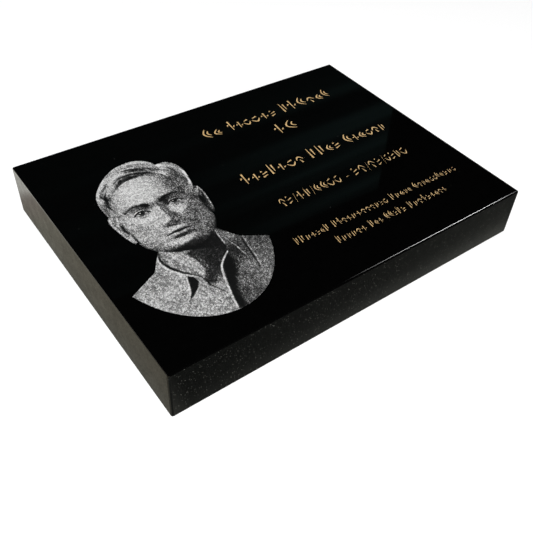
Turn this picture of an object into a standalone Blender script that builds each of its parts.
# Granite memorial tablet: one polished slab that lies flat, with an etched portrait sunk a little
# below its top face and an inscription kept as rows of shallow cut strokes.
# X runs along the rows, -Y is the front edge, and the origin is at the middle of the underside.

import math
import random
import re
from collections import namedtuple

import bmesh
import bpy

# Slab, in metres
SLAB_WIDTH = 0.305
SLAB_DEPTH = 0.229
SLAB_HEIGHT = 0.041
CORNER_RADIUS = 0.0015  # upright corners, seen from above
TOP_ARRIS = 0.0014  # quarter round along the top edge
BED_ARRIS = 0.001  # quarter round along the underside
ARRIS_STEPS = 6  # facets in each quarter round
SHARPEST_CORNER = 0.0002  # a corner drawn in past its own radius keeps this one

# Etched portrait: a head and shoulders, cut off below by an oval
BUST_HEIGHT = 0.170  # crown of the hair to the foot of the oval
BUST_FROM_LEFT = 0.0637  # the oval's centre line from the left edge
BUST_FROM_FRONT = 0.0192  # the foot of the oval from the front edge
FIELD_DEPTH = 0.00025  # the etching lies this far below the polish
CURVE_STEPS = 4  # straight bits between two points of the portrait's edge
OVAL_STEPS = 28  # straight bits round the oval's lower arc

# The portrait's edge, as shares of its height: right from the oval's centre line, up from its foot
OVAL_HALF_WIDTH = 0.331
OVAL_HALF_HEIGHT = 0.443
SHOULDER_TIP = 0.265  # where the shoulders meet the oval
HEAD_LINE = 0.0206  # the head's own centre line
RIGHT_COLLAR = ((0.205, 0.326), (0.176, 0.372), (0.155, 0.419))
LEFT_COLLAR = ((-0.112, 0.419), (-0.144, 0.376), (-0.176, 0.329))

# The head, right from its own centre line: both sides share the jaw and the ear
JAW = ((0.163, 0.468), (0.172, 0.512))
EAR = ((0.172, 0.512), (0.184, 0.507), (0.197, 0.545), (0.209, 0.610), (0.214, 0.655), (0.210, 0.691),
       (0.198, 0.704))
RIGHT_HAIR = ((0.198, 0.704), (0.210, 0.764), (0.218, 0.828), (0.205, 0.884), (0.171, 0.920), (0.131, 0.919))
CROWN_HAIR = ((0.131, 0.919), (0.115, 0.959), (0.078, 0.989), (0.028, 1.000), (-0.031, 0.991),
              (-0.091, 0.958), (-0.147, 0.905), (-0.184, 0.852), (-0.200, 0.793), (-0.201, 0.740),
              (-0.198, 0.704))

# Inscription
STROKE_DEPTH = 0.0005
ROWS_FROM_RIGHT = 0.100  # the rows' common centre line from the right edge
STROKE_SEED = 12
BROAD_STROKE = 0.125  # thickest part of a stroke, as a share of the row's height
FINE_STROKE = 0.055  # thinnest part, the same
BROADEST = 0.26  # no stroke is thicker than this share of its mark's width
LOW_MARK = 0.64  # height of a low mark, as a share of the row's height
TALL_SHARE = 0.28  # how many of the marks stand tall
MARK_FILL = 0.80  # how much of its own width a mark takes up
MARK_WIDTHS = (0.8, 1.2)  # narrowest and widest mark of a row, against the middle one
SPACE_WIDTH = 0.62  # space between words, in marks
DIVIDER_WIDTH = 0.55  # leaning divider or level dash, in marks
DIVIDER_DROP = 0.1  # how far a divider reaches below the row's foot, as a share of its height
DASH_HEIGHT = 0.33  # how high a dash stands, the same
BEND_STEPS = 6  # straight bits along a bent stroke

Pen = namedtuple("Pen", "broad fine")  # thickest and thinnest part of a stroke
Row = namedtuple("Row", "foot height length rhythm")
ROWS = (  # foot from the back edge, height and length in metres, then the marks in each word
    Row(0.0456, 0.0133, 0.1285, "2 6 6"),
    Row(0.0699, 0.0134, 0.0212, "2"),
    Row(0.1108, 0.0129, 0.1438, "7 4 6"),
    Row(0.1464, 0.0093, 0.1259, "2/2/4 - 2/2/4"),
    Row(0.1836, 0.0075, 0.1575, "7 12 5 11"),
    Row(0.1980, 0.0077, 0.1072, "6 3 5 9"),
)

CUTTER_RISE = 0.001  # a cutter stands this far above the stone that it cuts


def remove_all_objects():
    for obj in list(bpy.data.objects):
        bpy.data.objects.remove(obj, do_unlink=True)


def stone_material():
    material = bpy.data.materials.new("black_granite")
    material.use_nodes = True
    shader = material.node_tree.nodes["Principled BSDF"]
    shader.inputs["Base Color"].default_value = (0.012, 0.012, 0.012, 1)
    shader.inputs["Roughness"].default_value = 0.12
    shader.inputs["Metallic"].default_value = 0.0
    material.diffuse_color = (0.012, 0.012, 0.012, 1)
    return material


def mesh_object(name, form):
    bmesh.ops.recalc_face_normals(form, faces=form.faces)
    mesh = bpy.data.meshes.new(name)
    form.to_mesh(mesh)
    form.free()
    obj = bpy.data.objects.new(name, mesh)
    bpy.context.scene.collection.objects.link(obj)
    return obj


# The slab is a stack of outlines, drawn in towards its top face and its underside

def slab_outline(inset):
    radius = max(CORNER_RADIUS - inset, SHARPEST_CORNER)
    reach_x = SLAB_WIDTH / 2 - inset - radius
    reach_y = SLAB_DEPTH / 2 - inset - radius
    points = []
    for quarter, (side_x, side_y) in enumerate(((1, 1), (-1, 1), (-1, -1), (1, -1))):
        for step in range(ARRIS_STEPS + 1):
            angle = math.pi / 2 * (quarter + step / ARRIS_STEPS)
            points.append((side_x * reach_x + radius * math.cos(angle),
                           side_y * reach_y + radius * math.sin(angle)))
    return points


def slab_levels():
    levels = []  # height and inset of each outline, from the underside up
    for step in range(ARRIS_STEPS + 1):
        angle = math.pi / 2 * step / ARRIS_STEPS
        levels.append((BED_ARRIS * (1 - math.cos(angle)), BED_ARRIS * (1 - math.sin(angle))))
    for step in range(ARRIS_STEPS + 1):
        angle = math.pi / 2 * step / ARRIS_STEPS
        levels.append((SLAB_HEIGHT - TOP_ARRIS * (1 - math.sin(angle)), TOP_ARRIS * (1 - math.cos(angle))))
    return levels


def build_slab():
    form = bmesh.new()
    rings = []
    for height, inset in slab_levels():
        rings.append([form.verts.new((x, y, height)) for x, y in slab_outline(inset)])
    for lower, upper in zip(rings, rings[1:]):
        for i in range(len(lower)):
            j = (i + 1) % len(lower)
            form.faces.new((lower[i], lower[j], upper[j], upper[i]))
    form.faces.new(rings[0])
    form.faces.new(rings[-1])
    return mesh_object("granite_tablet", form)


# Cutters are upright prisms that reach from above the polish down to the floor of the cut

def build_cutter(name, outlines, depth):
    form = bmesh.new()
    for outline in outlines:
        floor = [form.verts.new((x, y, SLAB_HEIGHT - depth)) for x, y in outline]
        lid = [form.verts.new((x, y, SLAB_HEIGHT + CUTTER_RISE)) for x, y in outline]
        for i in range(len(outline)):
            j = (i + 1) % len(outline)
            form.faces.new((floor[i], floor[j], lid[j], lid[i]))
        form.faces.new(floor)
        form.faces.new(lid)
    cutter = mesh_object(name, form)
    cutter.hide_render = True
    cutter.display_type = "WIRE"
    return cutter


def cut(obj, cutter):
    modifier = obj.modifiers.new(cutter.name, "BOOLEAN")
    modifier.operation = "DIFFERENCE"
    modifier.solver = "EXACT"
    modifier.use_self = True  # strokes may cross once a size is changed
    modifier.object = cutter


# The portrait's edge runs from the right shoulder over the head to the left one, then round the oval

def smooth_stretch(points):
    # A curve through all the points, without the last one, which starts the next stretch
    padded = [points[0], *points, points[-1]]
    curve = []
    for before, start, end, after in zip(padded, padded[1:], padded[2:], padded[3:]):
        for step in range(CURVE_STEPS):
            t = step / CURVE_STEPS
            curve.append(tuple(
                start[k] + t * (end[k] - before[k]) / 2
                + t * t * (2 * before[k] - 5 * start[k] + 4 * end[k] - after[k]) / 2
                + t ** 3 * (3 * start[k] - before[k] - 3 * end[k] + after[k]) / 2
                for k in (0, 1)))
    return curve


def oval_arc():
    # From the left shoulder's tip down round the foot to the right one
    tip_angle = math.asin((OVAL_HALF_HEIGHT - SHOULDER_TIP) / OVAL_HALF_HEIGHT)
    sweep = math.pi - 2 * tip_angle
    angles = [math.pi + tip_angle + sweep * step / OVAL_STEPS for step in range(OVAL_STEPS + 1)]
    return [(OVAL_HALF_WIDTH * math.cos(a), OVAL_HALF_HEIGHT * (1 + math.sin(a))) for a in angles]


def bust_outline():
    def on_head(points, side=1):
        return [(HEAD_LINE + side * x, y) for x, y in points]

    arc = oval_arc()
    edge = [arc[-1]]
    edge += smooth_stretch(RIGHT_COLLAR)
    edge += smooth_stretch([RIGHT_COLLAR[-1], *on_head(JAW)])
    edge += smooth_stretch(on_head(EAR))
    edge += smooth_stretch(on_head(RIGHT_HAIR))
    edge += smooth_stretch(on_head(CROWN_HAIR))
    edge += smooth_stretch(on_head(EAR, -1)[::-1])
    edge += smooth_stretch([*on_head(JAW, -1)[::-1], LEFT_COLLAR[0]])
    edge += smooth_stretch(LEFT_COLLAR)
    edge += [LEFT_COLLAR[-1], *arc[:-1]]
    foot_x = BUST_FROM_LEFT - SLAB_WIDTH / 2
    foot_y = BUST_FROM_FRONT - SLAB_DEPTH / 2
    return [(foot_x + BUST_HEIGHT * x, foot_y + BUST_HEIGHT * y) for x, y in edge]


# A stroke is a closed outline round a path, thick and thin like a pen's. A mark is a few strokes
# that don't touch, as wide as width and as high as top, and it is no letter.

def stroke(path, thicknesses):
    left, right = [], []
    for i, ((x, y), thickness) in enumerate(zip(path, thicknesses)):
        ahead, behind = path[min(i + 1, len(path) - 1)], path[max(i - 1, 0)]
        run = math.hypot(ahead[0] - behind[0], ahead[1] - behind[1])
        side_x = (behind[1] - ahead[1]) / run * thickness / 2
        side_y = (ahead[0] - behind[0]) / run * thickness / 2
        left.append((x + side_x, y + side_y))
        right.append((x - side_x, y - side_y))
    return left + right[::-1]


def bow(start, end, rise, pen):
    # A bent stroke that swells in its middle and stands off to the left of its straight line by rise
    run_x, run_y = end[0] - start[0], end[1] - start[1]
    run = math.hypot(run_x, run_y)
    path, thicknesses = [], []
    for step in range(BEND_STEPS + 1):
        t = step / BEND_STEPS
        swell = math.sin(math.pi * t)
        path.append((start[0] + run_x * t - run_y / run * rise * swell,
                     start[1] + run_y * t + run_x / run * rise * swell))
        thicknesses.append(pen.fine + (pen.broad - pen.fine) * swell)
    return stroke(path, thicknesses)


def reed_mark(width, top, pen):
    # One leaning reed with a short tick on either side
    return [stroke([(0.42 * width, 0), (0.58 * width, top)], [pen.fine, pen.broad]),
            stroke([(0.02 * width, 0.50 * top), (0.26 * width, 0.66 * top)], [pen.fine, pen.broad]),
            stroke([(0.98 * width, 0.46 * top), (0.74 * width, 0.30 * top)], [pen.fine, pen.broad])]


def pair_mark(width, top, pen):
    # Two reeds of unequal length that lean the same way
    return [stroke([(0.16 * width, 0), (0.36 * width, top)], [pen.broad, pen.fine]),
            stroke([(0.66 * width, 0.20 * top), (0.84 * width, 0.84 * top)], [pen.fine, pen.broad])]


def arch_mark(width, top, pen):
    # A bow over a short drop
    return [bow((0, 0.50 * top), (width, 0.50 * top), 0.42 * top, pen),
            stroke([(0.56 * width, 0), (0.46 * width, 0.48 * top)], [pen.broad, pen.fine])]


def cup_mark(width, top, pen):
    # A hanging bow under a short slanted bar
    return [bow((0, 0.52 * top), (width, 0.52 * top), -0.44 * top, pen),
            stroke([(0.20 * width, 0.74 * top), (0.82 * width, 0.90 * top)], [pen.fine, pen.broad])]


def crescents_mark(width, top, pen):
    # Two nested bows, the smaller one inside the larger
    return [bow((0.78 * width, 0.04 * top), (0.70 * width, 0.97 * top), 0.58 * width, pen),
            bow((0.94 * width, 0.26 * top), (0.90 * width, 0.74 * top), 0.28 * width, pen)]


def ripple_mark(width, top, pen):
    # Two slanted bars, stepped like ripples, and a drop over them
    return [stroke([(0.04 * width, 0.08 * top), (0.78 * width, 0.26 * top)], [pen.broad, pen.fine]),
            stroke([(0.20 * width, 0.48 * top), (0.96 * width, 0.64 * top)], [pen.fine, pen.broad]),
            stroke([(0.20 * width, 0.82 * top), (0.44 * width, 0.97 * top)], [pen.fine, pen.broad])]


TALL_MARKS = (reed_mark, pair_mark, crescents_mark)
LOW_MARKS = (reed_mark, pair_mark, arch_mark, cup_mark, crescents_mark, ripple_mark)


def mark_strokes(kind, width, height, pen, chance):
    if kind == "/":
        return [stroke([(0, -DIVIDER_DROP * height), (width, height)], [pen.fine, pen.fine])]
    if kind == "-":
        return [stroke([(0, DASH_HEIGHT * height), (width, DASH_HEIGHT * height)], [pen.broad, pen.fine])]
    if kind == "tall":
        return chance.choice(TALL_MARKS)(width, height, pen)
    if kind == "even":
        return chance.choice(LOW_MARKS)(width, height, pen)
    return chance.choice(LOW_MARKS)(width, LOW_MARK * height, pen)


def row_places(row, chance):
    # Where each mark of a row starts, how wide it is and of what kind, in widths of a middle mark
    places, at = [], 0.0
    for token in re.findall(r"\d+| |/|-", row.rhythm):
        if token == " ":
            at += SPACE_WIDTH
        elif token in "/-":
            places.append((at, DIVIDER_WIDTH, token))
            at += DIVIDER_WIDTH
        else:
            for number in range(int(token)):
                share = chance.uniform(*MARK_WIDTHS)
                tall = number == 0 or chance.random() < TALL_SHARE
                places.append((at, share, "even" if "/" in row.rhythm else "tall" if tall else "low"))
                at += share
    return places


def row_outlines(row, chance):
    places = row_places(row, chance)
    unit = row.length / (places[-1][0] + MARK_FILL * places[-1][1])
    start_x = SLAB_WIDTH / 2 - ROWS_FROM_RIGHT - row.length / 2
    foot_y = SLAB_DEPTH / 2 - row.foot
    outlines = []
    for at, share, kind in places:
        width = MARK_FILL * share * unit
        broad = min(BROAD_STROKE * row.height, BROADEST * width)
        pen = Pen(broad, broad * FINE_STROKE / BROAD_STROKE)
        for outline in mark_strokes(kind, width, row.height, pen, chance):
            outlines.append([(start_x + at * unit + x, foot_y + y) for x, y in outline])
    return outlines


def inscription_outlines():
    chance = random.Random(STROKE_SEED)
    outlines = []
    for row in ROWS:
        outlines += row_outlines(row, chance)
    return outlines


def main():
    remove_all_objects()
    tablet = build_slab()
    tablet.data.materials.append(stone_material())
    cut(tablet, build_cutter("portrait_cutter", [bust_outline()], FIELD_DEPTH))
    cut(tablet, build_cutter("inscription_cutter", inscription_outlines(), STROKE_DEPTH))


main()
